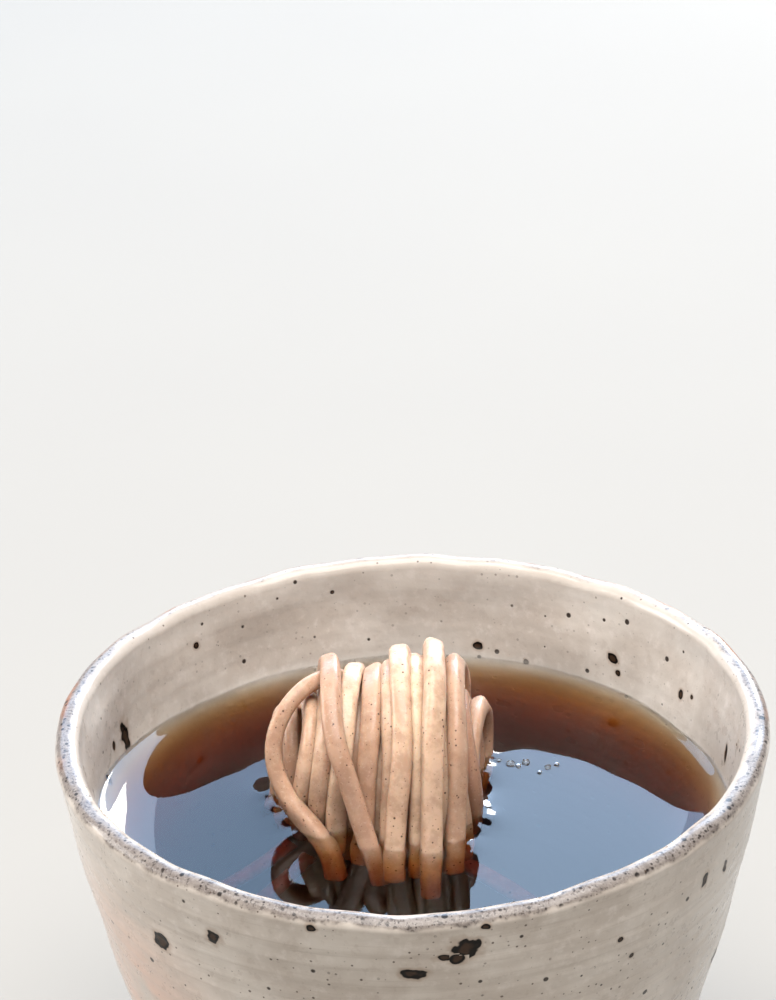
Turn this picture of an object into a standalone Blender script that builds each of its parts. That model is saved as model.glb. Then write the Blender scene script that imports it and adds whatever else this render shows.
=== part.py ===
"""Soba noodles in dipping sauce: a hand-thrown stoneware cup, the sauce in it, and the heap of
buckwheat noodles that stands in the sauce.

Metres, +Z up. The origin is the centre of the foot ring, on the table.
"""

import math

import bmesh
import bpy

MM = 0.001

# The cup, in millimetres. Depths run down from the outer edge of the lip.
RIM_RADIUS = 40.0
RIM_HEIGHT = 62.0
WALL_TAPER = 0.14
WALL_CURVE = 0.0020
LIP_WIDTH = 2.7
LIP_DROP = 0.4
LIP_ARCH = 1.2
INNER_TAPER = 0.11
INNER_CURVE = 0.0030
FLOOR_HEIGHT = 8.0
FLOOR_FLAT_RADIUS = 16.0
FLOOR_CURVE_TOP = 16.0
FOOT_RADIUS = 20.8
FOOT_INNER_RADIUS = 17.4
FOOT_HEIGHT = 4.2
FOOT_FLARE = 0.7
FOOT_CHAMFER = 0.4
RECESS_HEIGHT = 3.0
BASE_CURVE_TOP = 10.0
CUP_SIDES = 64

# The sauce, up to its level, a hair's breadth clear of the cup and of the noodles.
SAUCE_DEPTH_BELOW_RIM = 12.4
SAUCE_SIDES = 60
GAP = 0.3

# The heap of noodles: its centre and half-widths where it stands and where it leaves the sauce,
# and how far its crest lies behind the middle.
HEAP_FOOT_CENTRE = (-1.0, 1.5)
HEAP_FOOT_HALF = (13.5, 13.0)
HEAP_BULGE = 0.18
HEAP_CENTRE = (-3.7, 5.2)
HEAP_HALF = (13.5, 13.5)
HEAP_RISE = 19.4
CREST_SHIFT = 1.0
HEAP_CELLS = 30
STRAND_WIDTH = 2.4
STRAND_RELIEF = 0.9
STRAND_LEAN = math.radians(8.0)

SAUCE_LEVEL = RIM_HEIGHT - SAUCE_DEPTH_BELOW_RIM
HEAP_FLOOR = FLOOR_HEIGHT + GAP


def outer_radius(height):
    """The outside of the wall: a taper that closes in faster towards the foot."""
    depth = RIM_HEIGHT - height
    return RIM_RADIUS - WALL_TAPER * depth - WALL_CURVE * depth**2


def inner_radius(height):
    """The inside of the wall, and the curve that takes it into the floor."""
    if height < FLOOR_CURVE_TOP:
        spread = inner_radius(FLOOR_CURVE_TOP) - FLOOR_FLAT_RADIUS
        drop = (FLOOR_CURVE_TOP - height) / (FLOOR_CURVE_TOP - FLOOR_HEIGHT)
        return FLOOR_FLAT_RADIUS + spread * math.sqrt(max(0.0, 1 - drop**2))
    depth = RIM_HEIGHT - LIP_DROP - height
    mouth = RIM_RADIUS - LIP_WIDTH
    return mouth - INNER_TAPER * depth - INNER_CURVE * depth**2


def steps(start, end, count):
    """Evenly spaced values from start to end, both included."""
    return [start + (end - start) * i / (count - 1) for i in range(count)]


def arc(centre, radii, start, end, count):
    """Points (r, z) on an ellipse, between two angles in degrees."""
    angles = [math.radians(a) for a in steps(start, end, count)]
    return [
        (centre[0] + radii[0] * math.cos(a), centre[1] + radii[1] * math.sin(a)) for a in angles
    ]


def thrown(radius, height, angle):
    """A point of the hand-thrown pot: a little out of round and wavy at the lip, true at the foot."""
    rise = max(0.0, (height - FOOT_HEIGHT) / (RIM_HEIGHT - FOOT_HEIGHT))
    oval = 0.0035 * math.sin(2 * angle + 0.6) + 0.0025 * math.sin(3 * angle + 2.0)
    dents = 0.0012 * math.sin(7 * angle + 1.0)
    radius *= 1 + rise * (oval + dents)
    lip = max(0.0, (height - SAUCE_LEVEL) / SAUCE_DEPTH_BELOW_RIM) ** 2
    height += lip * (0.30 * math.sin(2 * angle + 1.2) + 0.16 * math.sin(5 * angle))
    return (radius * math.cos(angle), radius * math.sin(angle), height)


def heap_outline(angle, height, grow=0.0):
    """A point on the heap's side, or grow millimetres outside it."""
    share = min(1.0, (height - HEAP_FLOOR) / (SAUCE_LEVEL - HEAP_FLOOR))
    bulge = 1 + HEAP_BULGE * math.sin(math.pi * share)
    centre = [a + (b - a) * share for a, b in zip(HEAP_FOOT_CENTRE, HEAP_CENTRE)]
    half = [bulge * (a + (b - a) * share) + grow for a, b in zip(HEAP_FOOT_HALF, HEAP_HALF)]
    uneven = 1 + 0.055 * math.sin(2 * angle + 0.5) + 0.04 * math.sin(3 * angle + 2.1)
    uneven += 0.02 * math.sin(5 * angle + 4.0) + 0.018 * math.sin(11 * angle + 3 * share)
    x = centre[0] + half[0] * uneven * math.cos(angle)
    y = centre[1] + half[1] * uneven * math.sin(angle)
    return (x, y, height)


def strand_relief(x, y):
    """The rounded backs of noodles lying side by side, one strand's width apart."""
    across = x * math.cos(STRAND_LEAN) + y * math.sin(STRAND_LEAN)
    across += 0.9 * math.sin(y / 6.0) + 0.5 * math.sin(x / 5.0 + 1.0)
    return STRAND_RELIEF * (abs(math.cos(math.pi * across / STRAND_WIDTH)) - 0.5)


def heap_top(angle, reach):
    """A point on the heap above the sauce, at a share of the way from its middle to its side."""
    # Flat along the crest that the strands fold over, and rounded down the way that they run.
    roundness = 0.42 + 0.28 * math.sin(angle) ** 2
    crown = max(0.0, 1 - reach**2) ** roundness
    x, y, _ = heap_outline(angle, SAUCE_LEVEL)
    x = HEAP_CENTRE[0] + (x - HEAP_CENTRE[0]) * reach
    y = HEAP_CENTRE[1] + (y - HEAP_CENTRE[1]) * reach + CREST_SHIFT * crown
    lumps = 0.05 * math.sin(x / 4.5 + 0.7) + 0.05 * math.sin(y / 5.0 + 2.0)
    height = SAUCE_LEVEL + HEAP_RISE * crown * (0.92 + lumps) + strand_relief(x, y) * crown
    return (x, y, height)


def square_to_disc(i, j):
    """The angle and reach on a disc of a crossing in a square net of HEAP_CELLS by HEAP_CELLS."""
    u = 2 * i / HEAP_CELLS - 1
    v = 2 * j / HEAP_CELLS - 1
    across = u * math.sqrt(1 - v * v / 2)
    along = v * math.sqrt(1 - u * u / 2)
    return math.atan2(along, across), min(1.0, math.hypot(across, along))


def net_border():
    """The crossings round the edge of the net, anticlockwise."""
    last = HEAP_CELLS
    border = [(i, 0) for i in range(last)] + [(last, j) for j in range(last)]
    border += [(last - i, last) for i in range(last)] + [(0, last - j) for j in range(last)]
    return border


def add_ring(mesh, points):
    """New vertices in metres from points in millimetres."""
    return [mesh.verts.new([MM * c for c in point]) for point in points]


def join_rings(mesh, low, high):
    """A band of faces between two rings of as many points."""
    for i in range(len(low)):
        j = (i + 1) % len(low)
        mesh.faces.new((low[i], low[j], high[j], high[i]))


def close_ring(mesh, ring, centre):
    """A fan of faces that closes a ring to a point."""
    middle = add_ring(mesh, [centre])[0]
    for i in range(len(ring)):
        mesh.faces.new((ring[i], ring[(i + 1) % len(ring)], middle))


def make_object(name, mesh, material):
    """The named object from a closed mesh, with its faces out and its round sides smooth."""
    bmesh.ops.recalc_face_normals(mesh, faces=mesh.faces)
    bmesh.ops.triangulate(mesh, faces=mesh.faces)
    data = bpy.data.meshes.new(name)
    mesh.to_mesh(data)
    mesh.free()
    data.materials.append(material)
    data.shade_smooth()
    data.set_sharp_from_angle(angle=math.radians(50))
    piece = bpy.data.objects.new(name, data)
    bpy.context.scene.collection.objects.link(piece)


def turned_rings(profile, sides):
    """The rings of a thrown shape from its (r, z) outline."""
    angles = [2 * math.pi * i / sides for i in range(sides)]
    return [[thrown(radius, height, a) for a in angles] for radius, height in profile]


def finish(name, colour, roughness):
    """A Principled material in linear RGB."""
    material = bpy.data.materials.new(name)
    material.use_nodes = True
    shader = material.node_tree.nodes["Principled BSDF"]
    shader.inputs["Base Color"].default_value = (*colour, 1.0)
    shader.inputs["Roughness"].default_value = roughness
    shader.inputs["Metallic"].default_value = 0.0
    return material


def make_cup():
    """The cup, from the middle of the recess under it, round the foot and lip, to its floor."""
    profile = [(FOOT_INNER_RADIUS * 0.6, RECESS_HEIGHT), (FOOT_INNER_RADIUS - 0.8, RECESS_HEIGHT)]
    profile += [(FOOT_INNER_RADIUS, RECESS_HEIGHT - 0.8), (FOOT_INNER_RADIUS, FOOT_CHAMFER)]
    profile += [(FOOT_INNER_RADIUS + FOOT_CHAMFER, 0.0), (FOOT_RADIUS - FOOT_CHAMFER, 0.0)]
    profile += [(FOOT_RADIUS, FOOT_CHAMFER)]
    base_start = FOOT_RADIUS + FOOT_FLARE
    base_radii = (outer_radius(BASE_CURVE_TOP) - base_start, BASE_CURVE_TOP - FOOT_HEIGHT)
    profile += arc((base_start, BASE_CURVE_TOP), base_radii, -90, 0, 5)
    wall_heights = steps(BASE_CURVE_TOP, RIM_HEIGHT - LIP_DROP, 10)[1:-1]
    profile += [(outer_radius(z), z) for z in wall_heights]
    lip_centre = (RIM_RADIUS - LIP_WIDTH / 2, RIM_HEIGHT - LIP_DROP)
    profile += arc(lip_centre, (LIP_WIDTH / 2, LIP_ARCH), 0, 180, 7)
    inner_heights = steps(RIM_HEIGHT - LIP_DROP, FLOOR_CURVE_TOP, 7)[1:]
    profile += [(inner_radius(z), z) for z in inner_heights]
    floor_radii = (inner_radius(FLOOR_CURVE_TOP) - FLOOR_FLAT_RADIUS, FLOOR_CURVE_TOP - FLOOR_HEIGHT)
    profile += arc((FLOOR_FLAT_RADIUS, FLOOR_CURVE_TOP), floor_radii, 0, -90, 5)[1:]
    mesh = bmesh.new()
    rings = [add_ring(mesh, ring) for ring in turned_rings(profile, CUP_SIDES)]
    for low, high in zip(rings, rings[1:]):
        join_rings(mesh, low, high)
    close_ring(mesh, rings[0], (0.0, 0.0, RECESS_HEIGHT))
    close_ring(mesh, rings[-1], (0.0, 0.0, FLOOR_HEIGHT))
    make_object("cup", mesh, finish("speckled_glaze", (0.55, 0.50, 0.43), 0.28))


def make_sauce():
    """The sauce, a ring round the noodles, a gap clear of them and of the cup."""
    floor = FLOOR_HEIGHT + GAP
    spread = inner_radius(FLOOR_CURVE_TOP) - FLOOR_FLAT_RADIUS
    curve_radii = (spread - GAP, FLOOR_CURVE_TOP - floor)
    profile = arc((FLOOR_FLAT_RADIUS, FLOOR_CURVE_TOP), curve_radii, -68, 0, 4)[:-1]
    low = profile[0][1]
    profile += [(inner_radius(z) - GAP, z) for z in steps(FLOOR_CURVE_TOP, SAUCE_LEVEL, 5)]
    angles = [2 * math.pi * i / SAUCE_SIDES for i in range(SAUCE_SIDES)]
    hole = [[heap_outline(a, z, GAP) for a in angles] for z in steps(SAUCE_LEVEL, low, 6)]
    mesh = bmesh.new()
    rings = [add_ring(mesh, ring) for ring in turned_rings(profile, SAUCE_SIDES) + hole]
    for near, far in zip(rings, rings[1:] + rings[:1]):
        join_rings(mesh, near, far)
    make_object("sauce", mesh, finish("dipping_sauce", (0.045, 0.012, 0.004), 0.05))


def make_soba():
    """The heap of noodles, from the cup's floor to its crest, with the relief of its strands."""
    border = net_border()
    angles = [square_to_disc(*crossing)[0] for crossing in border]
    mesh = bmesh.new()
    heights = steps(HEAP_FLOOR, SAUCE_LEVEL, 6)
    rings = [add_ring(mesh, [heap_outline(a, z) for a in angles]) for z in heights]
    for low, high in zip(rings, rings[1:]):
        join_rings(mesh, low, high)
    close_ring(mesh, rings[0], (*HEAP_FOOT_CENTRE, HEAP_FLOOR))
    net = dict(zip(border, rings[-1]))
    for i in range(1, HEAP_CELLS):
        for j in range(1, HEAP_CELLS):
            net[i, j] = add_ring(mesh, [heap_top(*square_to_disc(i, j))])[0]
    for i in range(HEAP_CELLS):
        for j in range(HEAP_CELLS):
            mesh.faces.new((net[i, j], net[i + 1, j], net[i + 1, j + 1], net[i, j + 1]))
    make_object("soba", mesh, finish("boiled_soba", (0.52, 0.37, 0.29), 0.42))


for leftover in list(bpy.data.objects):
    bpy.data.objects.remove(leftover)

make_cup()
make_sauce()
make_soba()
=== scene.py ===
"""The looks of a cup of soba: a speckled, hand-thrown stoneware cup of dark dipping sauce, with a
bundle of boiled buckwheat noodles set down in it.

Lengths are in millimetres until they are put into a mesh, which is in metres.
"""

import math

import bpy
import numpy as np
from mathutils import Matrix, Vector


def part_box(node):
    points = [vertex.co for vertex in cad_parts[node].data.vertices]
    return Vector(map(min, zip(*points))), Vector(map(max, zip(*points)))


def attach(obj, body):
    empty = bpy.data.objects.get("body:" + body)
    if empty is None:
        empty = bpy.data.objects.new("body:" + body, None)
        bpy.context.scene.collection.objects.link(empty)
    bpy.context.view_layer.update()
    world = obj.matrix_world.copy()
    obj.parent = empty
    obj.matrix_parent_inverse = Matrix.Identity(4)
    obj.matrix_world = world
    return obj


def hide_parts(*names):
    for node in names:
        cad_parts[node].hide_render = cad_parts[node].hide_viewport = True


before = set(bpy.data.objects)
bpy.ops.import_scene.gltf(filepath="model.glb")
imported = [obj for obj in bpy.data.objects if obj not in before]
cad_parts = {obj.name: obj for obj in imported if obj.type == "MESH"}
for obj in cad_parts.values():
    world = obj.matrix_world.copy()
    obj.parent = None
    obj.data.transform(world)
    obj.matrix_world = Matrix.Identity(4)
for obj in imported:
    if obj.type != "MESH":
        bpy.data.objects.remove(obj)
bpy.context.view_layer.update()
MM = 0.001

# The cup: coarse iron-bearing stoneware, thrown on a wheel, so it is a little out of round and
# carries the lines of the potter's fingers. It is dipped in a milky ash glaze down to a foot ring
# that stays bare.
RIM_RADIUS = 40.0
RIM_HEIGHT = 62.0
WALL_TAPER = 0.14
WALL_CURVE = 0.0020
INNER_TAPER = 0.11
INNER_CURVE = 0.0030
LIP_WIDTH = 2.7
LIP_DROP = 0.4
LIP_ARCH = 1.2
FLOOR_HEIGHT = 8.0
FLOOR_FLAT_RADIUS = 16.0
FLOOR_CURVE_TOP = 16.0
FOOT_RADIUS = 20.8
FOOT_INNER_RADIUS = 17.4
FOOT_HEIGHT = 4.2
FOOT_FLARE = 0.7
FOOT_EDGE = 0.6
RECESS_HEIGHT = 3.0
RECESS_EDGE = 1.2
BASE_CURVE_TOP = 10.0
WALL_STEP = 0.42
FINGER_RISE = 2.4
CUP_SIDES = 240
SAUCE_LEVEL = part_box("sauce")[1].z / MM


def outer_radius(height):
    """The outside of the wall: a taper that closes in faster towards the foot."""
    depth = RIM_HEIGHT - height
    return RIM_RADIUS - WALL_TAPER * depth - WALL_CURVE * depth**2


def inner_radius(height):
    """The inside of the wall, and the curve that takes it into the floor."""
    if height < FLOOR_CURVE_TOP:
        spread = inner_radius(FLOOR_CURVE_TOP) - FLOOR_FLAT_RADIUS
        drop = (FLOOR_CURVE_TOP - height) / (FLOOR_CURVE_TOP - FLOOR_HEIGHT)
        return FLOOR_FLAT_RADIUS + spread * math.sqrt(max(0.0, 1 - drop**2))
    depth = RIM_HEIGHT - LIP_DROP - height
    return RIM_RADIUS - LIP_WIDTH - INNER_TAPER * depth - INNER_CURVE * depth**2


def arc(centre, radii, start, end, count):
    """Points (r, z) on an ellipse, between two angles in degrees."""
    angles = np.radians(np.linspace(start, end, count))
    return [(centre[0] + radii[0] * math.cos(a), centre[1] + radii[1] * math.sin(a)) for a in angles]


def wall(radius, start, end):
    """Points (r, z) down or up a side of the wall, a wall step apart, without its two ends."""
    count = round(abs(end - start) / WALL_STEP) + 1
    return [(radius(z), z) for z in np.linspace(start, end, count)[1:-1]]


def cup_outline():
    """The cup's half section, from the middle of the recess under it, up, over the lip, and in."""
    outline = [(0.0, RECESS_HEIGHT), (6.0, RECESS_HEIGHT), (12.0, RECESS_HEIGHT)]
    recess_corner = (FOOT_INNER_RADIUS - RECESS_EDGE, RECESS_HEIGHT - RECESS_EDGE)
    outline += arc(recess_corner, (RECESS_EDGE, RECESS_EDGE), 90, 0, 5)
    outline += arc((FOOT_INNER_RADIUS + FOOT_EDGE, FOOT_EDGE), (FOOT_EDGE, FOOT_EDGE), 180, 270, 4)
    outline += arc((FOOT_RADIUS - FOOT_EDGE, FOOT_EDGE), (FOOT_EDGE, FOOT_EDGE), 270, 360, 4)
    outline += [(FOOT_RADIUS, 1.6), (FOOT_RADIUS, 2.8)]
    base_start = FOOT_RADIUS + FOOT_FLARE
    base_radii = (outer_radius(BASE_CURVE_TOP) - base_start, BASE_CURVE_TOP - FOOT_HEIGHT)
    outline += arc((base_start, BASE_CURVE_TOP), base_radii, -90, 0, 18)
    lip_foot = RIM_HEIGHT - LIP_DROP
    outline += wall(outer_radius, BASE_CURVE_TOP, lip_foot)
    outline += arc((RIM_RADIUS - LIP_WIDTH / 2, lip_foot), (LIP_WIDTH / 2, LIP_ARCH), 0, 180, 15)
    outline += wall(inner_radius, lip_foot, FLOOR_CURVE_TOP)
    spread = inner_radius(FLOOR_CURVE_TOP) - FLOOR_FLAT_RADIUS
    floor_radii = (spread, FLOOR_CURVE_TOP - FLOOR_HEIGHT)
    outline += arc((FLOOR_FLAT_RADIUS, FLOOR_CURVE_TOP), floor_radii, 0, -90, 20)
    return outline + [(10.0, FLOOR_HEIGHT), (5.0, FLOOR_HEIGHT), (0.0, FLOOR_HEIGHT)]


def turn_on_wheel(name, outline, sides):
    """A closed shape with its outline (r, z) spun once round, as on the potter's wheel."""
    bpy.ops.object.select_all(action="DESELECT")
    bpy.ops.mesh.primitive_plane_add(size=MM)
    piece = bpy.context.object
    piece.name = name
    bpy.ops.object.mode_set(mode="EDIT")
    bpy.ops.mesh.merge(type="CENTER")
    bpy.ops.transform.translate(value=(outline[0][0] * MM, 0.0, outline[0][1] * MM))
    for (r0, z0), (r1, z1) in zip(outline, outline[1:]):
        step = ((r1 - r0) * MM, 0.0, (z1 - z0) * MM)
        bpy.ops.mesh.extrude_vertices_move(TRANSFORM_OT_translate={"value": step})
    bpy.ops.mesh.select_all(action="SELECT")
    bpy.ops.mesh.spin(steps=sides, angle=2 * math.pi, center=(0, 0, 0), axis=(0, 0, 1))
    bpy.ops.mesh.select_all(action="SELECT")
    bpy.ops.mesh.remove_doubles(threshold=0.002 * MM)
    bpy.ops.mesh.normals_make_consistent(inside=False)
    bpy.ops.object.mode_set(mode="OBJECT")
    return piece


def points_of(piece):
    """The piece's points in millimetres, one row each."""
    points = np.empty(3 * len(piece.data.vertices))
    piece.data.vertices.foreach_get("co", points)
    return points.reshape(-1, 3) / MM


def move_points(piece, points):
    """Puts the piece's points at new places, given in millimetres."""
    piece.data.vertices.foreach_set("co", (points * MM).ravel())
    piece.data.update()


def add_attribute(piece, name, values):
    """A number for each point, for the piece's material to read."""
    piece.data.attributes.new(name, "FLOAT", "POINT").data.foreach_set("value", values)


def thrown(radius, height, angle):
    """A point of the pot as thrown: a little out of round and wavy at the lip, true at the foot."""
    rise = np.maximum(0.0, (height - FOOT_HEIGHT) / (RIM_HEIGHT - FOOT_HEIGHT))
    oval = 0.0035 * np.sin(2 * angle + 0.6) + 0.0025 * np.sin(3 * angle + 2.0)
    dents = 0.0012 * np.sin(7 * angle + 1.0)
    radius = radius * (1 + rise * (oval + dents))
    lip = np.maximum(0.0, (height - SAUCE_LEVEL) / (RIM_HEIGHT - SAUCE_LEVEL)) ** 2
    height = height + lip * (0.30 * np.sin(2 * angle + 1.2) + 0.16 * np.sin(5 * angle))
    # Short waves left by the fingers that smoothed the lip.
    height = height + lip * (0.08 * np.sin(17 * angle + 0.4) + 0.06 * np.sin(29 * angle + 2.0))
    return radius, height


def finger_marks(height, angle, inside):
    """How far the potter's fingers pushed the wall out: lines that climb with each turn, and dents."""
    climb = 2 * math.pi * height / FINGER_RISE + angle
    lines = 0.035 * np.sin(climb + 1.4 * np.sin(2 * angle)) + 0.020 * np.sin(2 * climb + 1.0)
    broad = 0.09 * np.sin(height / 1.9 + 2 * angle) + 0.07 * np.sin(height / 3.1 - 3 * angle + 1.0)
    pressed = 0.06 * np.sin(9 * angle + height / 2.6) + 0.05 * np.sin(14 * angle - height / 3.4)
    wanted = np.where(inside, 0.25 * lines + 0.9 * broad + 1.4 * pressed, lines + 0.7 * broad)
    # None on the base curve or over the lip, which were turned and smoothed last.
    shown = np.clip((height - BASE_CURVE_TOP) / 6, 0, 1) * np.clip((RIM_HEIGHT - height) / 3, 0, 1)
    return wanted * shown


def shape_like_cup(radius, height, angle, inside):
    """Points in space on the finished wall, from places on the true turned one."""
    radius = radius + finger_marks(height, angle, inside)
    radius, height = thrown(radius, height, angle)
    return np.stack([radius * np.cos(angle), radius * np.sin(angle), height], axis=1)


outline = np.array(cup_outline())
cup = turn_on_wheel("stoneware_cup", outline, CUP_SIDES)
turned = points_of(cup)
cup_radius = np.hypot(turned[:, 0], turned[:, 1])
cup_angle = np.arctan2(turned[:, 1], turned[:, 0])
nearest = np.argmin(
    (cup_radius[:, None] - outline[None, :, 0]) ** 2 + (turned[:, 2:] - outline[None, :, 1]) ** 2,
    axis=1,
)
run = np.concatenate([[0.0], np.cumsum(np.linalg.norm(np.diff(outline, axis=0), axis=1))])
crest = np.argmax(outline[:, 1])
from_lip = (run - run[crest])[nearest]
move_points(cup, shape_like_cup(cup_radius, turned[:, 2], cup_angle, from_lip > 0))
add_attribute(cup, "from_lip", from_lip)
bpy.ops.object.shade_smooth()


def linear(colour):
    """A linear RGBA colour from an sRGB hex value."""
    parts = [int(colour[i : i + 2], 16) / 255 for i in (1, 3, 5)]
    return [p / 12.92 if p <= 0.04045 else ((p + 0.055) / 1.055) ** 2.4 for p in parts] + [1.0]


def add(tree, kind, ins=None, out=0, **settings):
    """Adds a node with its settings, and its inputs as values or links. Returns one output."""
    made = tree.nodes.new("ShaderNode" + kind)
    for name, value in settings.items():
        setattr(made, name, value)
    for socket, value in (ins or {}).items():
        if isinstance(value, bpy.types.NodeSocket):
            tree.links.new(value, made.inputs[socket])
        else:
            made.inputs[socket].default_value = value
    return made.outputs[out]


def new_material(name):
    """An empty node material, its tree, and a place in millimetres on the piece that wears it."""
    made = bpy.data.materials.new(name)
    made.use_nodes = True
    tree = made.node_tree
    tree.nodes.clear()
    place = add(tree, "TexCoord", out="Object")
    return made, tree, add(tree, "VectorMath", {0: place, "Scale": 1000.0}, operation="SCALE")


# The large iron spots, where grains of iron in the clay bled through the glaze: the angle round
# the cup, the height, and half the width and height of each, outside and then inside.
OUTER_SPOTS = [
    (-135, 52.3, 1.0, 1.2), (-123, 56.6, 0.85, 0.85), (-83.0, 58.9, 1.5, 1.35), (-84.4, 57.4, 0.9, 0.7),
    (-86.3, 57.7, 0.9, 0.50), (-91, 55.6, 1.3, 0.75), (-38, 56.0, 0.6, 0.9), (-31, 55.2, 0.45, 0.8),
    (-106, 61.4, 0.55, 0.5), (-80, 61.6, 0.5, 0.45), (-57, 54.5, 0.4, 0.35), (-54, 51.3, 0.35, 0.4),
    (178, 57.0, 0.5, 0.8), (175, 52.6, 0.4, 1.2), (-70, 44.0, 1.1, 0.8), (-20, 38.0, 1.4, 1.1),
    (60, 50.0, 1.3, 1.6), (95, 41.0, 0.9, 0.7), (130, 55.0, 0.8, 1.0), (20, 27.0, 1.0, 0.8),
    (-150, 30.0, 1.2, 1.0),
]
INNER_SPOTS = [
    (158, 53.2, 0.85, 1.8), (163, 53.6, 0.4, 0.7), (169, 50.9, 0.45, 0.9), (134, 57.8, 0.45, 0.45),
    (47, 54.2, 0.75, 0.8), (45.5, 52.6, 0.35, 0.35), (76, 51.9, 0.55, 0.6), (66, 50.6, 0.35, 0.4),
    (28, 54.6, 0.45, 0.6), (24.5, 55.2, 0.3, 0.3), (7, 54.0, 0.4, 1.2), (49, 47.4, 0.6, 0.6),
    (46, 48.2, 0.4, 0.4), (70, 41.0, 0.9, 0.7), (36, 42.5, 0.9, 0.9), (-100, 55.0, 0.8, 0.9),
    (-40, 52.0, 0.6, 0.6), (57.5, 42.5, 0.9, 0.8), (55.0, 41.8, 0.45, 0.45), (53.0, 36.5, 0.8, 0.8),
]


def mark_spots(piece, name):
    """Gives each face its place on the nearest spot, in half-widths and half-heights from its middle."""
    corner = np.empty(len(piece.data.loops), int)
    piece.data.loops.foreach_get("vertex_index", corner)
    sizes = np.empty(len(piece.data.polygons), int)
    piece.data.polygons.foreach_get("loop_total", sizes)
    face = np.repeat(np.arange(len(sizes)), sizes)
    middle = np.stack([np.bincount(face, turned[corner, i]) / sizes for i in range(3)], axis=1)
    is_inside = np.bincount(face, from_lip[corner]) > 0
    best = np.full(len(sizes), 9.0)
    offset = np.full((len(corner), 2), 9.0)
    for inside, listed in ((False, OUTER_SPOTS), (True, INNER_SPOTS)):
        for degrees, height, half_width, half_height in listed:
            round_to = Vector((math.cos(math.radians(degrees)), math.sin(math.radians(degrees))))
            ahead = middle[:, 0] * round_to.x + middle[:, 1] * round_to.y > 0
            across = (middle[:, 1] * round_to.x - middle[:, 0] * round_to.y) / half_width
            away = np.hypot(across, (middle[:, 2] - height) / half_height)
            closer = (away < best) & ahead & (is_inside == inside)
            best[closer] = away[closer]
            mine = closer[face]
            x, y, z = turned[corner[mine]].T
            offset[mine, 0] = (y * round_to.x - x * round_to.y) / half_width
            offset[mine, 1] = (z - height) / half_height
    marks = piece.data.attributes.new(name, "FLOAT_VECTOR", "CORNER")
    marks.data.foreach_set("vector", np.column_stack([offset, np.zeros(len(offset))]).ravel())


mark_spots(cup, "on_spot")


def fade(tree, value, start, end, low=0.0, high=1.0):
    """A smooth step: low where the value is at start, high where it is at end."""
    limits = {0: value, 1: start, 2: end, 3: low, 4: high}
    return add(tree, "MapRange", limits, interpolation_type="SMOOTHSTEP")


def times(tree, *values):
    """The product of several values."""
    product = values[0]
    for value in values[1:]:
        product = add(tree, "Math", {0: product, 1: value}, operation="MULTIPLY")
    return product


def mixed(tree, share, colour, over):
    """One colour laid over another, by a share from 0 to 1."""
    return add(tree, "Mix", {0: share, 6: colour, 7: over}, out=2, data_type="RGBA")


def grains(tree, place, spacing, largest, share):
    """Round grains of uneven size, scattered about a spacing apart: 1 on a grain and 0 off it."""
    cell = add(tree, "TexVoronoi", {"Vector": place, "Scale": 1 / spacing}, out="Distance")
    tint = add(tree, "TexVoronoi", {"Vector": place, "Scale": 1 / spacing}, out="Color")
    pick = add(tree, "SeparateColor", {0: tint})
    size = add(tree, "MapRange", {0: pick, 1: 1 - share, 2: 1.0, 3: 0.0, 4: largest / spacing})
    edge = add(tree, "Math", {0: size, 1: cell}, operation="SUBTRACT")
    return add(tree, "MapRange", {0: edge, 1: 0.0, 2: 0.25 * largest / spacing, 3: 0.0, 4: 1.0})


# Ash-glazed stoneware: a glassy coat over a milky, faintly mottled body, warm where the clay shows
# through thin glaze at the lip, peppered with iron, and dull and sandy on the bare foot.
glaze, tree, place = new_material("ash_glazed_stoneware")
lip = add(tree, "Attribute", out="Fac", attribute_name="from_lip")
# A noise's scale is one over a size in millimetres: patches of 3, clouds of 9, curds of 1.7 and
# flecks of 0.4.
patches = add(tree, "TexNoise", {"Vector": place, "Scale": 0.35, "Detail": 4.0, "Roughness": 0.6})
cloud = add(tree, "TexNoise", {"Vector": place, "Scale": 0.11, "Detail": 3.0, "Roughness": 0.55})
curd = add(tree, "TexNoise", {"Vector": place, "Scale": 0.6, "Detail": 5.0, "Roughness": 0.65})
flecks = add(tree, "TexNoise", {"Vector": place, "Scale": 2.6, "Detail": 3.0, "Roughness": 0.6})
body = mixed(tree, fade(tree, cloud, 0.38, 0.64), linear("#c9beb3"), linear("#d9d0c6"))
body = mixed(tree, fade(tree, curd, 0.50, 0.72, 0.0, 0.55), body, linear("#e6ddd5"))
body = mixed(tree, fade(tree, curd, 0.46, 0.30, 0.0, 0.22), body, linear("#b2a297"))

# Fine wheel lines, drawn as a stretched noise a third of a millimetre apart.
wheel = add(tree, "Mapping", {"Vector": place, "Scale": (0.05, 0.05, 1.6)})
lines = add(tree, "TexNoise", {"Vector": wheel, "Scale": 1.0, "Detail": 4.0, "Roughness": 0.7})
outside = fade(tree, lip, -1.5, -3.5)
body = mixed(tree, times(tree, fade(tree, lines, 0.50, 0.32, 0.0, 0.20), outside), body, linear("#9d8e80"))

# The flame's blush on one side of the outside.
blush_place = add(tree, "Mapping", {
    "Vector": place, "Location": (-33.0, -20.0, 40.0), "Scale": (17.0, 17.0, 17.0),
}, vector_type="TEXTURE")
blush = add(tree, "VectorMath", {0: blush_place}, out="Value", operation="LENGTH")
blush = times(tree, fade(tree, blush, 1.25, 0.2, 0.0, 0.45), fade(tree, cloud, 0.30, 0.60), outside)
body = mixed(tree, blush, body, linear("#d99c7c"))

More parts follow.
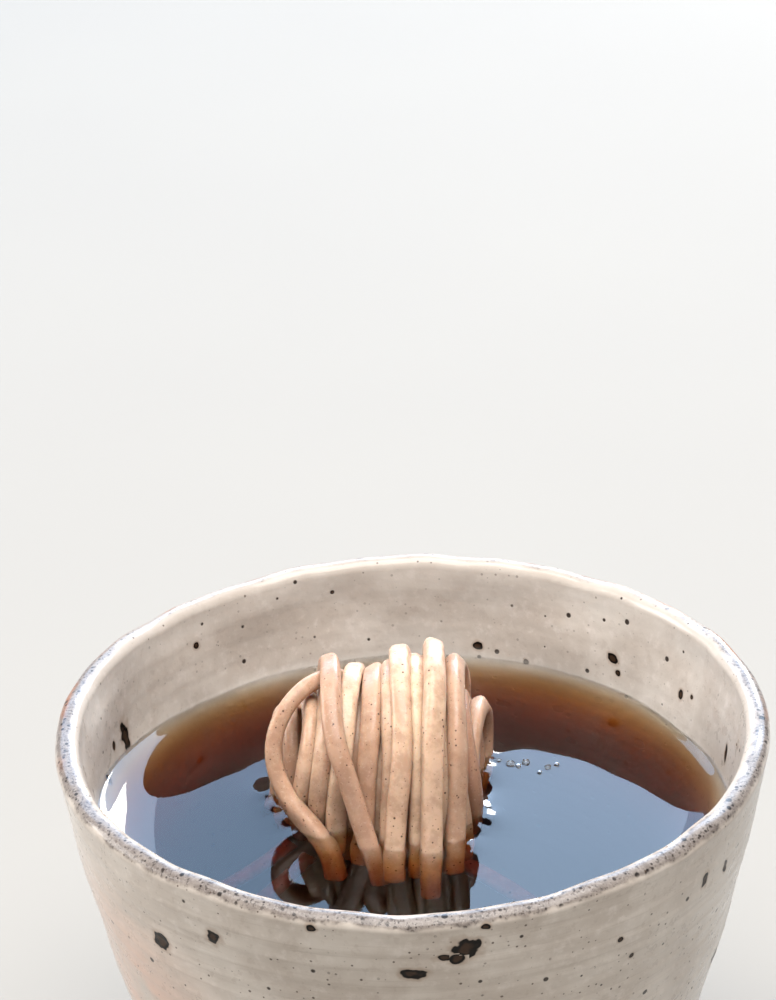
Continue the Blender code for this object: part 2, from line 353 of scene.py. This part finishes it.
# The lip, where the glaze ran thin over dark clay.
ragged = add(tree, "Math", {0: patches, 1: 1.8, 2: -0.9}, operation="MULTIPLY_ADD")
lip_ragged = add(tree, "Math", {0: lip, 1: ragged}, operation="ADD")
# Painted light: a lighter band just inside the lip, where its rounding catches the light.
painted_light_inside_lip = times(tree, fade(tree, lip, 0.6, 1.6), fade(tree, lip, 6.5, 3.0))
body = mixed(tree, times(tree, painted_light_inside_lip, 0.25), body, linear("#e9e4dd"))
front_to_back = add(tree, "SeparateXYZ", {0: place}, out="Y")
crown = times(tree, fade(tree, lip_ragged, -2.6, -1.2), fade(tree, lip, 2.4, 0.8))
body = mixed(tree, times(tree, crown, 0.7), body, linear("#aea297"))
band = times(tree, fade(tree, lip_ragged, -1.7, -1.1), fade(tree, lip_ragged, 0.7, 0.0))
# The band itself is thin glaze over dark clay. It fades to 0.3 towards the back, so the back of the lip is
# lighter: painted light, where the back of the lip catches more light.
band = times(tree, band, fade(tree, front_to_back, 32.0, 8.0, 0.3, 1.0))
salt = add(tree, "TexNoise", {"Vector": place, "Scale": 4.2, "Detail": 2.0, "Roughness": 0.6})
body = mixed(tree, times(tree, band, fade(tree, curd, 0.35, 0.6, 0.92, 0.72)), body, linear("#6a615c"))
body = mixed(tree, times(tree, band, fade(tree, salt, 0.52, 0.66, 0.0, 0.40)), body, linear("#a39a95"))
body = mixed(tree, times(tree, band, fade(tree, flecks, 0.47, 0.36, 0.0, 0.65)), body, linear("#2e2724"))
burnt = times(tree, fade(tree, lip_ragged, -2.9, -2.3), fade(tree, lip_ragged, -0.2, -0.9))
burnt = times(tree, burnt, fade(tree, cloud, 0.42, 0.60), fade(tree, front_to_back, -14.0, 2.0))
body = mixed(tree, times(tree, burnt, 0.75), body, linear("#96603f"))

# Iron: pepper and grains everywhere, crowded along the lip, and the large spots with a rusty halo.
pepper = grains(tree, place, 0.85, 0.20, 0.80)
pepper = times(tree, pepper, fade(tree, patches, 0.36, 0.54), fade(tree, lip, 1.0, 3.0, 1.0, 0.4))
grit = grains(tree, place, 2.2, 0.40, 0.60)
lip_pepper = times(tree, grains(tree, place, 0.60, 0.26, 0.85), band)
lip_grit = times(tree, grains(tree, place, 1.35, 0.42, 0.55), band)
body = mixed(tree, times(tree, pepper, 0.85), body, linear("#47362b"))
body = mixed(tree, times(tree, grit, 0.95), body, linear("#241812"))
body = mixed(tree, times(tree, lip_pepper, 0.90), body, linear("#2a2320"))
body = mixed(tree, times(tree, lip_grit, 0.95), body, linear("#1d1816"))
wobble = add(tree, "TexNoise", {"Vector": place, "Scale": 0.85, "Detail": 1.0}, out="Color")
wobble = add(tree, "VectorMath", {0: wobble, 1: (0.5, 0.5, 0.5)}, operation="SUBTRACT")
on_spot = add(tree, "Attribute", out="Vector", attribute_name="on_spot")
on_spot = add(tree, "VectorMath", {0: wobble, 1: (1.3, 1.3, 0.0), 2: on_spot}, operation="MULTIPLY_ADD")
spot = add(tree, "VectorMath", {0: on_spot}, out="Value", operation="LENGTH")
spot_mask = fade(tree, spot, 1.08, 0.90)
body = mixed(tree, fade(tree, spot, 1.7, 1.0, 0.0, 0.40), body, linear("#8f6d4e"))
spot_colour = mixed(tree, fade(tree, spot, 0.75, 0.35), linear("#070403"), linear("#3d2b1e"))
body = mixed(tree, spot_mask, body, spot_colour)

# Painted light: the inside wall is made lighter below the sauce's level, standing in for light that reaches
# it through the sauce.
height = add(tree, "SeparateXYZ", {0: place}, out="Z")
painted_light_under_sauce = times(tree, fade(tree, height, 52.0, 48.5), fade(tree, lip, 5.0, 8.0))
body = mixed(tree, times(tree, painted_light_under_sauce, 0.85), body, linear("#f3ede4"))

# The bare clay of the foot, below the line where the dip stopped.
dip_line = add(tree, "Math", {0: patches, 1: 3.0, 2: height}, operation="MULTIPLY_ADD")
bare = fade(tree, dip_line, 5.6, 5.1)
body = mixed(tree, bare, body, mixed(tree, flecks, linear("#7d6250"), linear("#a58a73")))

# Orange peel, pits at the grains, sand in the foot, and sparkle on the rough lip.
peel = add(tree, "TexNoise", {"Vector": place, "Scale": 0.75, "Detail": 2.0, "Roughness": 0.5})
relief = add(tree, "Math", {0: peel, 1: 0.50, 2: 0.0}, operation="MULTIPLY_ADD")
sandy = fade(tree, band, 0.0, 1.0, 0.10, 0.50)
relief = add(tree, "Math", {0: flecks, 1: sandy, 2: relief}, operation="MULTIPLY_ADD")
relief = add(tree, "Math", {0: lines, 1: times(tree, outside, 0.25), 2: relief}, operation="MULTIPLY_ADD")
relief = add(tree, "Math", {0: grit, 1: -0.5, 2: relief}, operation="MULTIPLY_ADD")
relief = add(tree, "Math", {0: spot_mask, 1: -0.25, 2: relief}, operation="MULTIPLY_ADD")
relief = add(tree, "Math", {0: flecks, 1: times(tree, bare, 1.2), 2: relief}, operation="MULTIPLY_ADD")
normal = add(tree, "Bump", {"Height": relief, "Strength": 0.55, "Distance": 0.16 * MM})
roughness = fade(tree, curd, 0.35, 0.65, 0.26, 0.42)
roughness = add(tree, "Math", {0: bare, 1: 0.45, 2: roughness}, operation="MULTIPLY_ADD")
roughness = add(tree, "Math", {0: band, 1: 0.06, 2: roughness}, operation="MULTIPLY_ADD")
# The glassy coat is thinner on the lip, and nearly gone over the iron, which stays dark.
gloss = times(tree, fade(tree, band, 0.0, 1.0, 0.50, 0.35), fade(tree, spot_mask, 0.0, 1.0, 1.0, 0.15))
shader = add(tree, "BsdfPrincipled", {
    "Base Color": body, "Roughness": roughness, "IOR": 1.5,
    "Specular IOR Level": 0.16, "Coat Weight": gloss, "Coat Roughness": 0.15, "Normal": normal,
})
surface = tree.nodes.new("ShaderNodeOutputMaterial")
tree.links.new(shader, surface.inputs["Surface"])
cup.data.materials.append(glaze)
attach(cup, "root")
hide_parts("cup")

# The noodles: boiled buckwheat soba, cut square from a rolled sheet. A bundle was picked up,
# folded over, and set down in the cup, so that its strands run side by side over one crest and
# plunge into the sauce, where their cut ends hang.
STRAND_WIDTH = 2.4
STRAND_THICKNESS = 1.9
STRAND_CORNER = 0.74
NODE_STEP = 1.5
RING_STEP = 0.8
# Each layer further in is smaller. A strand falls by CREST_FALL over CREST_RUN either side of the
# crest, and comes down at least LEAST_FOLD behind its foot.
LAYER_SHRINK = 0.18
CREST_RUN = 5.6
CREST_FALL = 2.6
LEAST_FOLD = 4.5
# Strands nearer than this may touch, and this is how far they sink in each round of settling.
CONTACT_RANGE = 3.1
SINK_IN_AIR = 0.025
SINK_IN_SAUCE = 0.0025
BUNDLE_CENTRE = np.array([-3.5, 5.0, 52.0])
BUNDLE_HALF = np.array([12.0, 9.0, 16.0])
CORE_CENTRE = np.array([-3.5, 5.0, 43.0])
CORE_HALF = np.array([3.4, 2.4, 14.0])
shake = np.random.default_rng(11)


def along(points, step):
    """Points evenly spaced along a path of straight runs, about a step apart."""
    run = np.concatenate([[0.0], np.cumsum(np.linalg.norm(np.diff(points, axis=0), axis=1))])
    wanted = np.linspace(0.0, run[-1], max(6, round(run[-1] / step) + 1))
    return np.stack([np.interp(wanted, run, points[:, i]) for i in range(3)], axis=1)


def smooth_path(stops, step):
    """Evenly spaced points on a smooth curve (Catmull-Rom) through the stops."""
    stops = np.array(stops, float)
    stops = np.vstack([2 * stops[0] - stops[1], stops, 2 * stops[-1] - stops[-2]])
    t = np.linspace(0.0, 1.0, 14, endpoint=False)[:, None]
    parts = []
    for before, start, end, after in zip(stops, stops[1:], stops[2:], stops[3:]):
        bend = (2 * before - 5 * start + 4 * end - after) * t**2
        swing = (3 * start - before - 3 * end + after) * t**3
        parts.append(0.5 * (2 * start + (end - before) * t + bend + swing))
    return along(np.vstack(parts + [stops[-2:-1]]), step)


def folded_strand(crest, foot, layer=0, tail=8.0):
    """One strand, from its sunk back end over the crest (x, z) to its foot (x, y) in front."""
    shrink = 1 - LAYER_SHRINK * layer
    middle_x, middle_y = BUNDLE_CENTRE[:2]
    crest_x = middle_x + (crest[0] - middle_x) * shrink + shake.normal(0, 0.25)
    crest_z = crest[1] - STRAND_THICKNESS * layer + shake.normal(0, 0.3)
    foot_x = middle_x + (foot[0] - middle_x) * shrink
    foot_y = middle_y + (foot[1] - middle_y) * shrink
    back_x = middle_x + (crest_x - middle_x) * 1.05
    back_y = max(middle_y + 0.75 * (middle_y - foot_y), foot_y + LEAST_FOLD * shrink)
    crest_y = max(middle_y + 1.5, 0.5 * (foot_y + back_y))
    # A strand at the side of the bundle turns back sooner than one over the middle.
    reach = CREST_RUN * shrink * (0.4 + 0.6 * min(1.0, max(0.0, (crest[1] - 57.0) / 9.0)))
    halfway = 0.42 * SAUCE_LEVEL + 0.58 * crest_z
    wave = shake.normal(0, 0.2, 3)
    return smooth_path([
        (back_x, back_y + 0.8, 40.0),
        (back_x + wave[0], back_y + 0.5, SAUCE_LEVEL),
        (0.5 * (back_x + crest_x) + wave[0], 0.5 * back_y + 0.5 * (crest_y + reach) + 0.3, halfway),
        (crest_x + wave[1], crest_y + reach, crest_z - CREST_FALL),
        (crest_x + wave[1], crest_y, crest_z),
        (crest_x + 0.04 * (foot_x - crest_x) + wave[1], crest_y - reach, crest_z - CREST_FALL),
        (0.55 * crest_x + 0.45 * foot_x + wave[2], 0.45 * (crest_y - reach) + 0.55 * foot_y, halfway),
        (foot_x, foot_y, SAUCE_LEVEL),
        (foot_x + 0.02 * tail * (foot_x - crest_x), foot_y - 0.20 * tail, SAUCE_LEVEL - tail),
    ], NODE_STEP)


def lay_noodles():
    """Every strand's path before it settles."""
    # Where the outside strands cross the crest, and where they enter the sauce in front.
    crest_line = [
        (-12.6, 0, 59.0), (-10.8, 0, 63.2), (-7.0, 0, 66.0), (-2.0, 0, 67.2), (2.6, 0, 67.4),
        (5.2, 0, 65.2), (6.2, 0, 60.8),
    ]
    foot_line = [
        (-15.6, 9.2, 0), (-13.6, 5.2, 0), (-10.8, 0.6, 0), (-7.2, -3.6, 0), (-2.6, -5.6, 0),
        (2.0, -6.0, 0), (4.8, -3.2, 0), (5.9, 1.0, 0), (6.4, 4.6, 0),
    ]
    paths = []
    for layer, count in ((2, 6), (1, 9), (0, 12)):
        crests = smooth_path(crest_line, 0.2)
        feet = smooth_path(foot_line, 0.2)
        for share in np.linspace(0.0, 1.0, count):
            crest = crests[round(share * (len(crests) - 1))]
            foot = feet[round(share * (len(feet) - 1))]
            tail = shake.uniform(2.5, 5.5)
            paths.append(folded_strand((crest[0], crest[2]), (foot[0], foot[1]), layer, tail))
    # A few that lie over their neighbours, one slanting from the left shoulder to the middle.
    for crest, foot, tail in (
        ((-9.4, 67.4), (-4.6, -7.0), 5.0), ((-1.0, 69.4), (-2.4, -7.6), 3.5), ((2.6, 69.6), (1.8, -8.2), 6.5),
        ((5.0, 67.6), (4.0, -5.6), 4.0),
    ):
        paths.append(folded_strand(crest, foot, 0, tail))
    # One loose loop at the left.
    paths.append(smooth_path([
        (-6.5, 12, 58), (-7.5, 10.0, 64.0), (-10.2, 7.4, 66.6), (-13.2, 5.0, 65.0), (-15.0, 3.2, 61.0),
        (-14.4, 1.0, 57.0), (-12.0, -2.0, 53.4), (-9.8, -4.8, 49.6), (-9.2, -6.2, 44.0),
    ], NODE_STEP))
    # Ends that lie fanned out, deep enough to show only faintly.
    for start, end in (
        ((-12, 2, 38.0), (-23, -8, 31.0)), ((-14, 5, 38.0), (-25, -2, 32.0)), ((5, 0, 38.0), (15, -7, 31.5)),
    ):
        t = np.linspace(0, 1, 30)[:, None]
        path = np.array(start) + (np.array(end) - np.array(start)) * t
        path[:, 0] += 0.8 * np.sin(3 * t[:, 0])
        paths.append(along(path, NODE_STEP))
    return paths


def settle(paths, rounds=90):
    """Lets the strands press apart, bend and sink a little, over a fixed number of rounds."""
    points = np.vstack(paths)
    strand = np.concatenate([np.full(len(path), i) for i, path in enumerate(paths)])
    place = np.concatenate([np.arange(len(path)) for path in paths])
    step = np.concatenate([
        np.full(len(path), np.linalg.norm(np.diff(path, axis=0), axis=1).mean()) for path in paths
    ])
    links = {gap: np.where(strand[gap:] == strand[:-gap])[0] for gap in (1, 2, 4, 7)}

    def spread(push, first, second, amount):
        np.add.at(push, first, -amount)
        np.add.at(push, second, amount)

    for turn in range(rounds):
        points[:, 2] -= np.where(points[:, 2] < SAUCE_LEVEL - 1, SINK_IN_SAUCE, SINK_IN_AIR)
        outward = away_from_core(points)
        if turn % 2 == 0:
            small = points.astype(np.float32)
            square = (small**2).sum(1)
            apart = square[:, None] + square[None, :] - 2 * small @ small.T
            apart[np.tril_indices(len(points))] = 1e9
            first, second = np.where(apart < CONTACT_RANGE**2)
            own = (strand[first] == strand[second]) & (np.abs(place[first] - place[second]) < 4)
            first, second = first[~own], second[~own]
        for _ in range(3):
            gap = points[second] - points[first]
            length = np.linalg.norm(gap, axis=1) + 1e-9
            gap /= length[:, None]
            # Strands are flat, so they lie closer one over the other than side by side.
            face = outward[first] + outward[second]
            face /= np.linalg.norm(face, axis=1, keepdims=True) + 1e-9
            stacked = np.abs((gap * face).sum(1))
            wanted = (STRAND_THICKNESS - 0.05) * stacked + (STRAND_WIDTH - 0.2) * (1 - stacked)
            overlap = np.clip(wanted - length, 0, None)
            push = np.zeros_like(points)
            spread(push, first, second, gap * (0.3 * overlap)[:, None])
            touching = overlap > 0
            count = np.bincount(first[touching], minlength=len(points))
            count = count + np.bincount(second[touching], minlength=len(points))
            points += push / np.maximum(1, count / 2)[:, None]
            # A boiled strand bends, but doesn't kink: its points keep their distance along it.
            for reach, straightness in ((2, 0.997), (4, 0.982), (7, 0.95)):
                start = links[reach]
                gap = points[start + reach] - points[start]
                length = np.linalg.norm(gap, axis=1) + 1e-9
                short = np.clip(reach * step[start] * straightness - length, 0, None)
                push = np.zeros_like(points)
                spread(push, start, start + reach, (0.15 * short / length)[:, None] * gap)
                points += push
            for odd in (0, 1):
                start = links[1][place[links[1]] % 2 == odd]
                gap = points[start + 1] - points[start]
                length = np.linalg.norm(gap, axis=1) + 1e-9
                share = (0.5 * (length - step[start]) / length)[:, None]
                points[start] += share * gap
                points[start + 1] -= share * gap
            points = out_of_core(points)
    return [points[strand == i] for i in range(len(paths))]


def out_of_core(points):
    """Moves points that are nearer the core than half a strand out to that."""
    half = CORE_HALF + STRAND_THICKNESS / 2
    from_centre = (points - CORE_CENTRE) / half
    depth = np.linalg.norm(from_centre, axis=1)
    inside = depth < 1
    moved = points.copy()
    moved[inside] = CORE_CENTRE + from_centre[inside] / depth[inside, None] * half
    return moved


def away_from_core(points):
    """The direction out of the bundle at each point, as out of a box with well rounded edges."""
    outward = (points - BUNDLE_CENTRE) / BUNDLE_HALF
    outward[:, 2] = np.maximum(outward[:, 2], 0.02)
    outward = np.sign(outward) * np.abs(outward) ** 3 / BUNDLE_HALF
    return outward / np.linalg.norm(outward, axis=1, keepdims=True)


def strand_section(width, thickness):
    """The strand's section: a rectangle whose corners went soft in the boil."""
    section = []
    for corner in range(4):
        x = (width / 2 - STRAND_CORNER) * (1 if corner in (0, 3) else -1)
        y = (thickness / 2 - STRAND_CORNER) * (1 if corner in (0, 1) else -1)
        for degrees in np.linspace(90 * corner, 90 * corner + 90, 4):
            a = math.radians(degrees)
            section.append((x + STRAND_CORNER * math.cos(a), y + STRAND_CORNER * math.sin(a)))
    return np.array(section)


def strand_rings(path):
    """The rings of points round one strand, its flat side facing out of the bundle."""
    path = path.copy()
    for _ in range(4):
        path[1:-1] = (path[:-2] + 2 * path[1:-1] + path[2:]) / 4
    path = smooth_path(path, RING_STEP)
    forward = np.gradient(path, axis=0)
    forward /= np.linalg.norm(forward, axis=1, keepdims=True)
    face = away_from_core(path)
    face -= (face * forward).sum(1)[:, None] * forward
    face /= np.linalg.norm(face, axis=1, keepdims=True)
    across = np.cross(forward, face)
    run = np.arange(len(path)) * RING_STEP
    roll = shake.normal(0, 0.16) + 0.16 * np.sin(run / 12 + shake.uniform(0, 6))
    swell = 1 + 0.035 * np.sin(run / 7 + shake.uniform(0, 6)) + 0.02 * np.sin(run / 2.6 + shake.uniform(0, 6))
    turned_face = face * np.cos(roll)[:, None] + across * np.sin(roll)[:, None]
    turned_across = np.cross(forward, turned_face)
    width = STRAND_WIDTH * shake.uniform(0.93, 1.04)
    thickness = STRAND_THICKNESS * shake.uniform(0.94, 1.06)
    section = strand_section(width, thickness)
    offset = section[None, :, 0:1] * turned_across[:, None] + section[None, :, 1:] * turned_face[:, None]
    rings = path[:, None] + offset * swell[:, None, None]
    # The knife's cut at each end, its edge a little worn.
    tip = path[0] - 0.18 * forward[0] + 0.9 * offset[0]
    tail = path[-1] + 0.18 * forward[-1] + 0.9 * offset[-1]
    return np.concatenate([tip[None], rings, tail[None]])


def join_strands(name, paths):
    """One mesh of all the strands, with a tone for each."""
    points, faces, tones = [], [], []
    for path in paths:
        rings = strand_rings(path)
        count, sides = rings.shape[:2]
        base = len(points)
        points += list(rings.reshape(-1, 3))
        tones += [shake.uniform(0, 1)] * (count * sides)
        for ring in range(count - 1):
            for i in range(sides):
                a = base + ring * sides + i
                b = base + ring * sides + (i + 1) % sides
                faces.append((a, b, b + sides, a + sides))
        faces.append([base + i for i in reversed(range(sides))])
        faces.append([base + (count - 1) * sides + i for i in range(sides)])
    mesh = bpy.data.meshes.new(name)
    mesh.from_pydata([tuple(MM * p) for p in points], [], faces)
    mesh.shade_smooth()
    piece = bpy.data.objects.new(name, mesh)
    bpy.context.scene.collection.objects.link(piece)
    add_attribute(piece, "tone", tones)
    return piece


noodle_paths = settle(lay_noodles())
strands = join_strands("soba_strands", noodle_paths)

# Boiled buckwheat dough: a soft, translucent paste that glows peach where light comes through it,
# grey-pink from the buckwheat, with dark crumbs of hull up to 0.3 mm and a film of water on it.
dough, tree, place = new_material("boiled_buckwheat_dough")
tone = add(tree, "Attribute", out="Fac", attribute_name="tone")
paste = add(tree, "TexNoise", {"Vector": place, "Scale": 0.5, "Detail": 4.0, "Roughness": 0.6})
grain = add(tree, "TexNoise", {"Vector": place, "Scale": 3.2, "Detail": 3.0, "Roughness": 0.6})
colour = mixed(tree, tone, linear("#a8816a"), linear("#dfc0a4"))
colour = mixed(tree, fade(tree, paste, 0.60, 0.38, 0.0, 0.4), colour, linear("#9a735b"))
colour = mixed(tree, fade(tree, grain, 0.55, 0.75, 0.0, 0.35), colour, linear("#dac3b0"))
hulls = grains(tree, place, 0.72, 0.16, 0.85)
dust = grains(tree, place, 0.42, 0.11, 0.80)
colour = mixed(tree, times(tree, dust, 0.55), colour, linear("#74503f"))
colour = mixed(tree, times(tree, hulls, 0.85), colour, linear("#452a1e"))
relief = add(tree, "Math", {0: grain, 1: 0.5, 2: paste}, operation="MULTIPLY_ADD")
normal = add(tree, "Bump", {"Height": relief, "Strength": 0.5, "Distance": 0.10 * MM})
shader = add(tree, "BsdfPrincipled", {
    "Base Color": colour, "Roughness": fade(tree, paste, 0.35, 0.65, 0.34, 0.48), "IOR": 1.4,
    "Subsurface Weight": 0.45, "Subsurface Radius": (1.0, 0.45, 0.25), "Subsurface Scale": 1.7 * MM,
    "Specular IOR Level": 0.35, "Coat Weight": 0.30, "Coat Roughness": 0.22, "Normal": normal,
})
surface = tree.nodes.new("ShaderNodeOutputMaterial")
tree.links.new(shader, surface.inputs["Surface"])
strands.data.materials.append(dough)
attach(strands, "root")
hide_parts("soba")

# The heart of the bundle: more of the same strands, pressed together out of sight.
bpy.ops.object.select_all(action="DESELECT")
bpy.ops.mesh.primitive_uv_sphere_add(segments=32, ring_count=20, radius=MM)
core = bpy.context.object
core.name = "soba_core"
ball = points_of(core)
ridge = 1 + 0.03 * np.sin(9 * np.arctan2(ball[:, 1], ball[:, 0]) + 2 * ball[:, 2])
move_points(core, CORE_CENTRE + ball * (CORE_HALF - 0.3) * ridge[:, None])
bpy.ops.object.shade_smooth()
core.data.materials.append(dough)
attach(core, "root")

# The sauce: soy, mirin and stock, poured to a finger below the lip. It fills the cup just into
# the wall, and climbs a little where it wets the glaze and the noodles.
SAUCE_SIDES = 240
INTO_WALL = 0.2
RING_GAP = 0.6
EDGE_WIDTH = 6.0
EDGE_RING_GAP = 0.25
# How high it climbs at the wall, at the back and at the noodles, and how far off that falls away.
WALL_CLIMB = 2.4
WALL_REACH = 2.6
BACK_CLIMB = 0.8
BACK_REACH = 1.2
NOODLE_CLIMB = 0.5
NOODLE_REACH = 1.2
bowl_floor = FLOOR_HEIGHT - INTO_WALL
surface_radius = inner_radius(SAUCE_LEVEL)
near_wall = surface_radius - EDGE_WIDTH
level_rings = [(r, SAUCE_LEVEL) for r in np.linspace(0.0, near_wall, round(near_wall / RING_GAP))]
edge_count = round(EDGE_WIDTH / EDGE_RING_GAP)
level_rings += [(near_wall + EDGE_RING_GAP * i, SAUCE_LEVEL) for i in range(1, edge_count)]
edge = [(surface_radius, SAUCE_LEVEL), (surface_radius + INTO_WALL, SAUCE_LEVEL)]
side = [(inner_radius(z) + INTO_WALL, z) for z in np.linspace(SAUCE_LEVEL, FLOOR_CURVE_TOP, 50)[1:]]
spread = inner_radius(FLOOR_CURVE_TOP) + INTO_WALL - FLOOR_FLAT_RADIUS
bowl = arc((FLOOR_FLAT_RADIUS, FLOOR_CURVE_TOP), (spread, FLOOR_CURVE_TOP - bowl_floor), 0, -90, 12)[1:]
sauce_outline = level_rings + edge + side + bowl + [(0.0, bowl_floor)]
sauce = turn_on_wheel("dipping_sauce", sauce_outline, SAUCE_SIDES)
poured = points_of(sauce)
radius = np.hypot(poured[:, 0], poured[:, 1])
angle = np.arctan2(poured[:, 1], poured[:, 0])
on_top = poured[:, 2] > SAUCE_LEVEL - 0.01
# It climbs least along the back, a little past it at the right, and most at the left and in front.
from_right = angle + 0.45 * np.maximum(0.0, np.cos(angle))
back = np.clip((np.sin(from_right) - 0.10) / 0.75, 0.0, 1.0)
back = back * back * (3 - 2 * back)
wall_climb = WALL_CLIMB + (BACK_CLIMB - WALL_CLIMB) * back
wall_reach = WALL_REACH + (BACK_REACH - WALL_REACH) * back
climb = wall_climb * np.exp(-np.maximum(0.0, surface_radius - radius) / wall_reach)
# The wall leans out, so the edge of the sauce follows it as it climbs.
lean = (np.vectorize(inner_radius)(SAUCE_LEVEL + climb) - surface_radius) * on_top
lean = lean * np.exp(-np.maximum(0.0, surface_radius - radius) / EDGE_RING_GAP)
inside = np.full(len(radius), True)
shaped = shape_like_cup(radius + lean, poured[:, 2] + climb * on_top, angle, inside)
at_level = np.vstack([path[np.abs(path[:, 2] - SAUCE_LEVEL) < 1.3] for path in noodle_paths])
to_noodle = np.full(len(shaped), 99.0)
for wet in at_level:
    to_noodle = np.minimum(to_noodle, np.hypot(shaped[:, 0] - wet[0], shaped[:, 1] - wet[1]))
at_noodles = NOODLE_CLIMB * np.exp(-np.maximum(0.0, to_noodle - STRAND_WIDTH / 2) / NOODLE_REACH)
shaped[on_top, 2] += at_noodles[on_top]
move_points(sauce, shaped)
bpy.ops.object.shade_smooth()

# Soy-based dipping sauce: a clear liquid that swallows blue first and red last, so that it runs
# from amber at its edge through red-brown to near black, under a mirror-smooth surface.
soy, tree, place = new_material("soy_dipping_sauce")
shader = add(tree, "BsdfPrincipled", {
    "Base Color": (1.0, 1.0, 1.0, 1.0), "Roughness": 0.0, "IOR": 1.345, "Transmission Weight": 1.0,
})
depth = add(tree, "VolumeAbsorption", {"Color": (0.78, 0.47, 0.0, 1.0), "Density": 300.0})
surface = tree.nodes.new("ShaderNodeOutputMaterial")
tree.links.new(shader, surface.inputs["Surface"])
tree.links.new(depth, surface.inputs["Volume"])
sauce.data.materials.append(soy)
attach(sauce, "root")
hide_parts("sauce")

# A few bubbles of foam left on the sauce beside the noodles, each a thin dome of the same liquid
# that sits a hair above it. Each is given by its middle (x, y) and its radius.
BUBBLES = [
    (10.2, 11.3, 0.42), (11.6, 10.6, 0.55), (12.5, 10.1, 0.34), (13.4, 10.9, 0.48),
    (15.9, 9.7, 0.40), (17.0, 10.2, 0.30), (14.9, 8.6, 0.26),
]
BUBBLE_FILM = 0.04
BUBBLE_RISE = 0.85
BUBBLE_LIFT = 0.03
BUBBLE_SIDES = 28
bubbles = []
for x, y, size in BUBBLES:
    dome = arc((0.0, 0.0), (size, BUBBLE_RISE * size), 90, 0, 9)
    lining = arc((0.0, 0.0), (size - BUBBLE_FILM, BUBBLE_RISE * size - BUBBLE_FILM), 0, 90, 9)
    bubble = turn_on_wheel("bubble", dome + lining, BUBBLE_SIDES)
    move_points(bubble, points_of(bubble) + np.array([x, y, SAUCE_LEVEL + BUBBLE_LIFT]))
    bpy.ops.object.shade_smooth()
    bubbles.append(bubble)
for bubble in bubbles:
    bubble.select_set(True)
bpy.ops.object.join()
foam = bpy.context.object
foam.name = "sauce_bubbles"

# The film of a bubble: too thin to have a colour, seen by its glints and its darker edge.
film, tree, place = new_material("sauce_film")
thin = add(tree, "TexNoise", {"Vector": place, "Scale": 1.5, "Detail": 1.0})
shader = add(tree, "BsdfPrincipled", {
    "Base Color": mixed(tree, thin, linear("#fbf4ea"), linear("#ffffff")), "Roughness": 0.0, "IOR": 1.345,
    "Transmission Weight": 1.0,
})
surface = tree.nodes.new("ShaderNodeOutputMaterial")
tree.links.new(shader, surface.inputs["Surface"])
foam.data.materials.append(film)
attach(foam, "root")

# The studio, in metres: a pale floor that runs off to white, two panes of daylight behind the cup
# that the sauce mirrors, a bright gap beside them, a soft box at the left and one overhead.
GROUND_SIZE = 12.0
bpy.ops.object.select_all(action="DESELECT")
bpy.ops.mesh.primitive_plane_add(size=GROUND_SIZE)
ground = bpy.context.object
ground.name = "floor"
plaster, tree, place = new_material("pale_plaster")
mottle = add(tree, "TexNoise", {"Vector": place, "Scale": 0.01})
tint = mixed(tree, mottle, linear("#96918a"), linear("#9a958d"))
shader = add(tree, "BsdfPrincipled", {"Base Color": tint, "Roughness": 0.85})
surface = tree.nodes.new("ShaderNodeOutputMaterial")
tree.links.new(shader, surface.inputs["Surface"])
ground.data.materials.append(plaster)


def add_lamp(name, place, aim, size, power, colour):
    """A rectangular soft box at a place, in metres, turned towards another."""
    light = bpy.data.lights.new(name, "AREA")
    light.shape = "RECTANGLE"
    light.size, light.size_y = size
    light.energy = power
    light.color = colour
    lamp = bpy.data.objects.new(name, light)
    bpy.context.scene.collection.objects.link(lamp)
    lamp.location = place
    lamp.rotation_euler = (Vector(place) - Vector(aim)).to_track_quat("Z", "Y").to_euler()


cup_middle = (0.0, 0.0, 0.05)
add_lamp("left_pane", (-0.42, 1.00, 0.66), (-0.42, 0.0, 0.05), (0.84, 0.55), 8.5, (0.46, 0.68, 1.0))
add_lamp("right_pane", (0.42, 1.00, 0.66), (0.42, 0.0, 0.05), (0.84, 0.55), 13.4, (0.52, 0.72, 1.0))
add_lamp("window_gap", (0.34, 0.94, 0.40), cup_middle, (0.18, 0.40), 6.5, (1.0, 0.93, 0.84))
add_lamp("left_box", (-0.86, 0.18, 0.42), cup_middle, (0.5, 0.5), 6.5, (1.0, 0.98, 0.96))
add_lamp("top_box", (0.04, -0.15, 1.00), cup_middle, (0.9, 0.9), 21.0, (1.0, 0.98, 0.96))
sky = bpy.data.worlds.new("room")
bpy.context.scene.world = sky
sky.use_nodes = True
sky.node_tree.nodes["Background"].inputs["Color"].default_value = (1.0, 0.98, 0.95, 1.0)
sky.node_tree.nodes["Background"].inputs["Strength"].default_value = 0.09
bpy.context.scene.view_settings.view_transform = "Standard"

# The camera looks down at the cup from in front, tipped slightly, at a point above the lip.
EYE_DISTANCE = 0.35
AIM_LEFT = 1.9
AIM_ABOVE_RIM = 28.3
elevation = math.radians(27.2)
tip = math.radians(-1.6)
backward = Vector((0.0, -math.cos(elevation), math.sin(elevation)))
right = Vector((1.0, 0.0, 0.0))
upward = backward.cross(right)
right_tipped = right * math.cos(tip) + upward * math.sin(tip)
upward_tipped = upward * math.cos(tip) - right * math.sin(tip)
eye = Vector((-AIM_LEFT, 0.0, RIM_HEIGHT + AIM_ABOVE_RIM)) * MM + backward * EYE_DISTANCE
camera = bpy.data.objects.new("camera", bpy.data.cameras.new("camera"))
bpy.context.scene.collection.objects.link(camera)
camera.matrix_world = Matrix((
    (right_tipped.x, upward_tipped.x, backward.x, eye.x),
    (right_tipped.y, upward_tipped.y, backward.y, eye.y),
    (right_tipped.z, upward_tipped.z, backward.z, eye.z),
    (0.0, 0.0, 0.0, 1.0),
))
camera.data.lens = 116.1
camera.data.sensor_width = 36.0
bpy.context.scene.camera = camera
